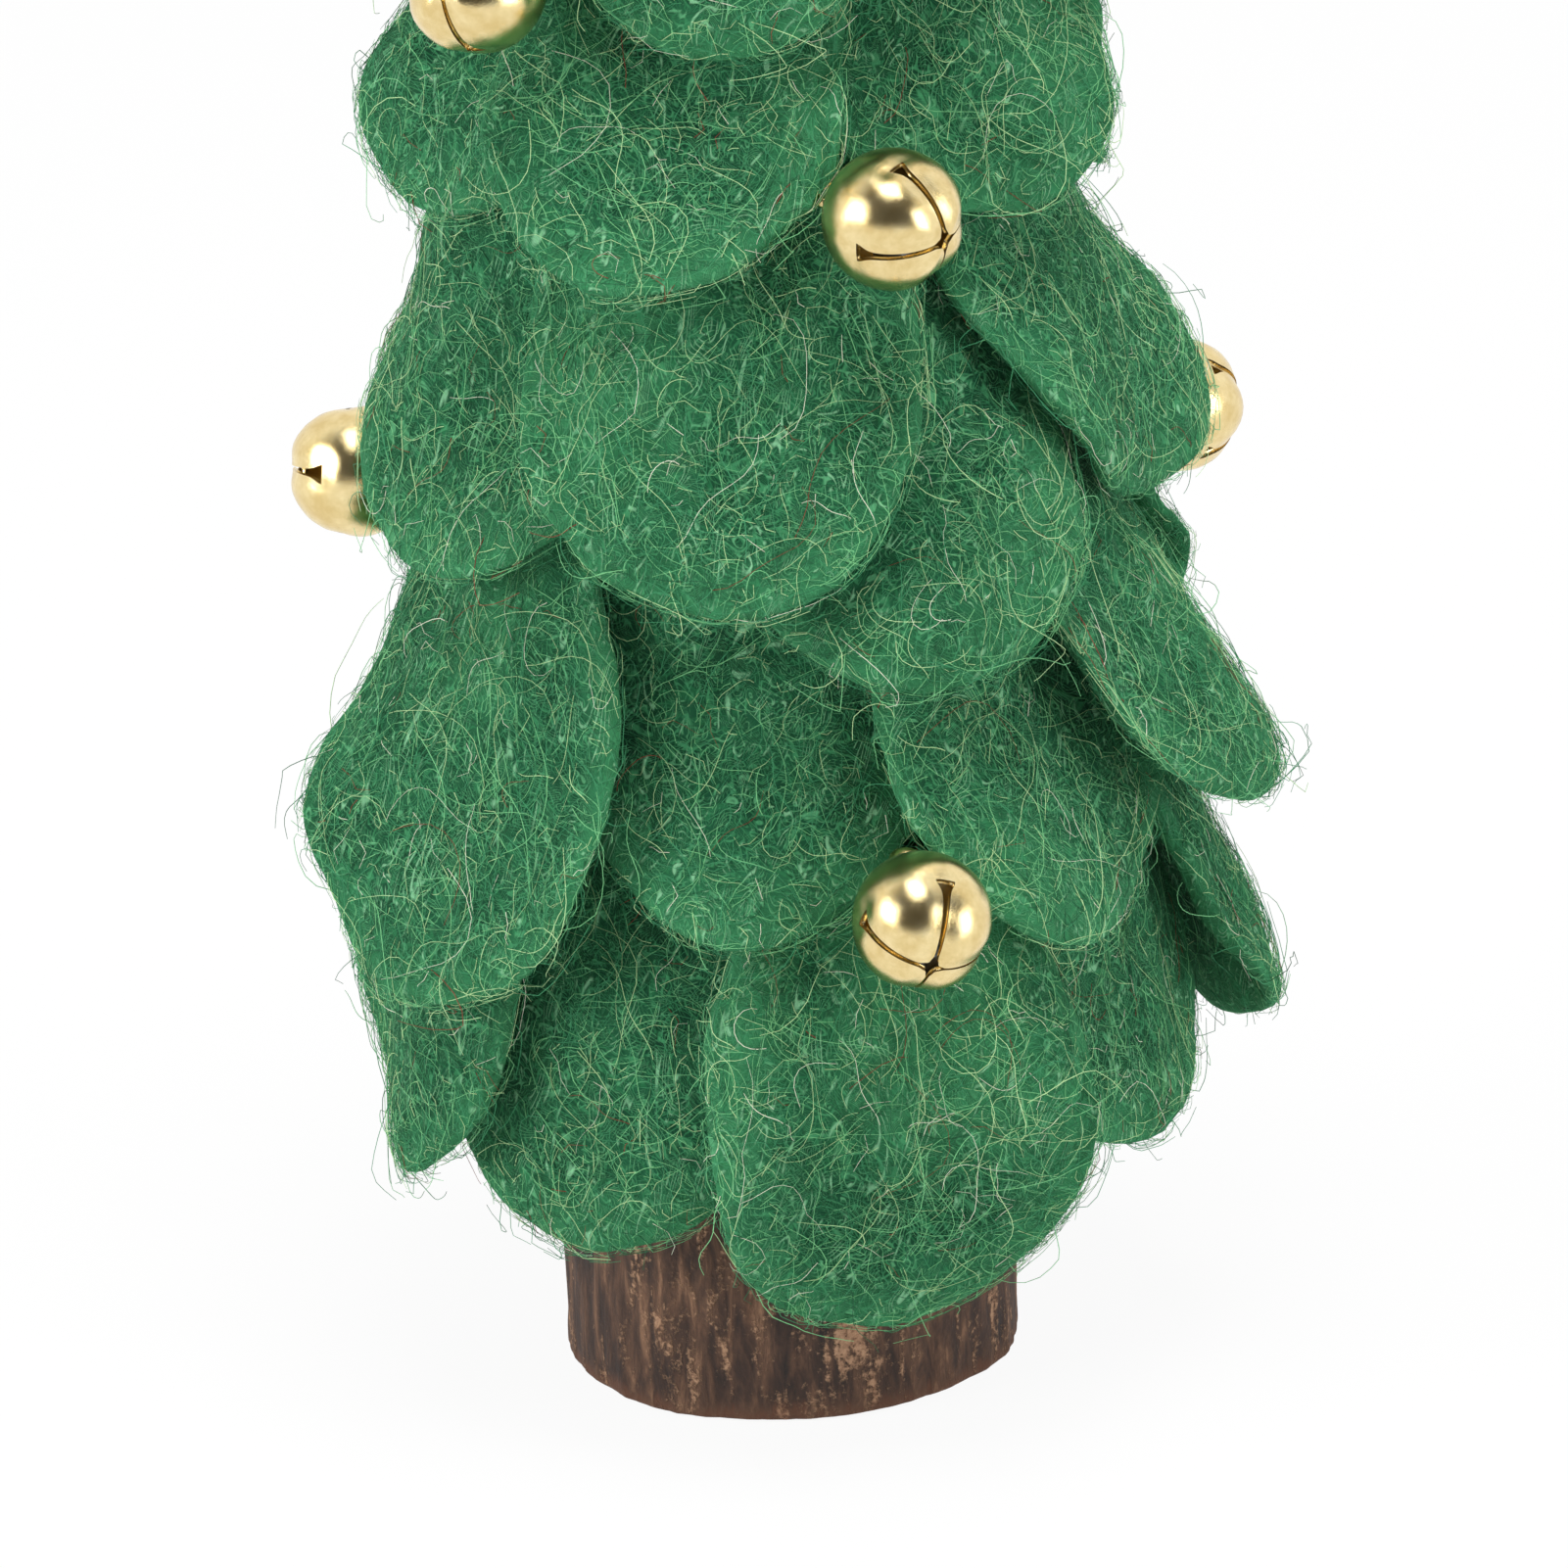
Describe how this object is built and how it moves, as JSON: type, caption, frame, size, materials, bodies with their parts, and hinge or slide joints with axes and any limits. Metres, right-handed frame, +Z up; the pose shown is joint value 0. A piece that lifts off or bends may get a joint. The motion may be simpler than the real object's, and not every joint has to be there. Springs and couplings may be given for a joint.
{
  "type": "felt christmas tree",
  "caption": "Small cone-shaped standing decoration covered in overlapping tongue-shaped felt petals, hung with small jingle bells, on a round wooden log-slice foot",
  "frame": {"origin": "centre of the flat underside of the log slice, where the tree stands", "axes": "+Z up along the tree's axis, -Y towards the viewer, +X to the viewer's right"},
  "size_m": [0.0748, 0.0804, 0.2047],
  "materials": {
    "bark_wood": "rough bark on the side, sanded flat ends",
    "foam": "fine closed-cell foam, painted dark green",
    "felt": "thick soft wool felt with loose fibres",
    "gold_brass": "polished thin sheet",
    "steel_pellet": "plain turned pellet"
  },
  "bodies": {
    "tree": {"log_slice": "bark_wood", "foam_cone": "foam", "petal_row1_1": "felt", "petal_row1_2": "felt", "petal_row1_3": "felt", "petal_row1_4": "felt", "petal_row1_5": "felt", "petal_row1_6": "felt", "petal_row1_7": "felt", "petal_row1_8": "felt", "petal_row2_1": "felt", "petal_row2_2": "felt", "petal_row2_3": "felt", "petal_row2_4": "felt", "petal_row2_5": "felt", "petal_row2_6": "felt", "petal_row2_7": "felt", "petal_row2_8": "felt", "petal_row3_1": "felt", "petal_row3_2": "felt", "petal_row3_3": "felt", "petal_row3_4": "felt", "petal_row3_5": "felt", "petal_row3_6": "felt", "petal_row3_7": "felt", "petal_row3_8": "felt", "petal_row4_1": "felt", "petal_row4_2": "felt", "petal_row4_3": "felt", "petal_row4_4": "felt", "petal_row4_5": "felt", "petal_row4_6": "felt", "petal_row4_7": "felt", "petal_row4_8": "felt", "strip_row5_under": "felt", "strip_row5_over": "felt", "strip_row6_under": "felt", "strip_row6_over": "felt", "strip_row7": "felt", "strip_row8": "felt", "tip_bud": "felt", "bell_low_front_shell": "gold_brass", "bell_high_front_shell": "gold_brass", "bell_upper_left_shell": "gold_brass", "bell_left_shell": "gold_brass", "bell_right_shell": "gold_brass", "bell_low_back_shell": "gold_brass", "bell_high_back_shell": "gold_brass", "bell_top_right_shell": "gold_brass", "bell_top_left_shell": "gold_brass"},
    "pellet_low_front": {"bell_low_front_pellet": "steel_pellet"},
    "pellet_high_front": {"bell_high_front_pellet": "steel_pellet"},
    "pellet_upper_left": {"bell_upper_left_pellet": "steel_pellet"},
    "pellet_left": {"bell_left_pellet": "steel_pellet"},
    "pellet_right": {"bell_right_pellet": "steel_pellet"},
    "pellet_low_back": {"bell_low_back_pellet": "steel_pellet"},
    "pellet_high_back": {"bell_high_back_pellet": "steel_pellet"},
    "pellet_top_right": {"bell_top_right_pellet": "steel_pellet"},
    "pellet_top_left": {"bell_top_left_pellet": "steel_pellet"}
  },
  "joints": [
    {"name": "rattle_low_front", "type": "slide", "parent": "tree", "child": "pellet_low_front", "axis": [0, 0, 1], "range_m": [0, 0.005]},
    {"name": "rattle_high_front", "type": "slide", "parent": "tree", "child": "pellet_high_front", "axis": [0, 0, 1], "range_m": [0, 0.005]},
    {"name": "rattle_upper_left", "type": "slide", "parent": "tree", "child": "pellet_upper_left", "axis": [0, 0, 1], "range_m": [0, 0.005]},
    {"name": "rattle_left", "type": "slide", "parent": "tree", "child": "pellet_left", "axis": [0, 0, 1], "range_m": [0, 0.005]},
    {"name": "rattle_right", "type": "slide", "parent": "tree", "child": "pellet_right", "axis": [0, 0, 1], "range_m": [0, 0.005]},
    {"name": "rattle_low_back", "type": "slide", "parent": "tree", "child": "pellet_low_back", "axis": [0, 0, 1], "range_m": [0, 0.005]},
    {"name": "rattle_high_back", "type": "slide", "parent": "tree", "child": "pellet_high_back", "axis": [0, 0, 1], "range_m": [0, 0.005]},
    {"name": "rattle_top_right", "type": "slide", "parent": "tree", "child": "pellet_top_right", "axis": [0, 0, 1], "range_m": [0, 0.005]},
    {"name": "rattle_top_left", "type": "slide", "parent": "tree", "child": "pellet_top_left", "axis": [0, 0, 1], "range_m": [0, 0.005]}
  ]
}
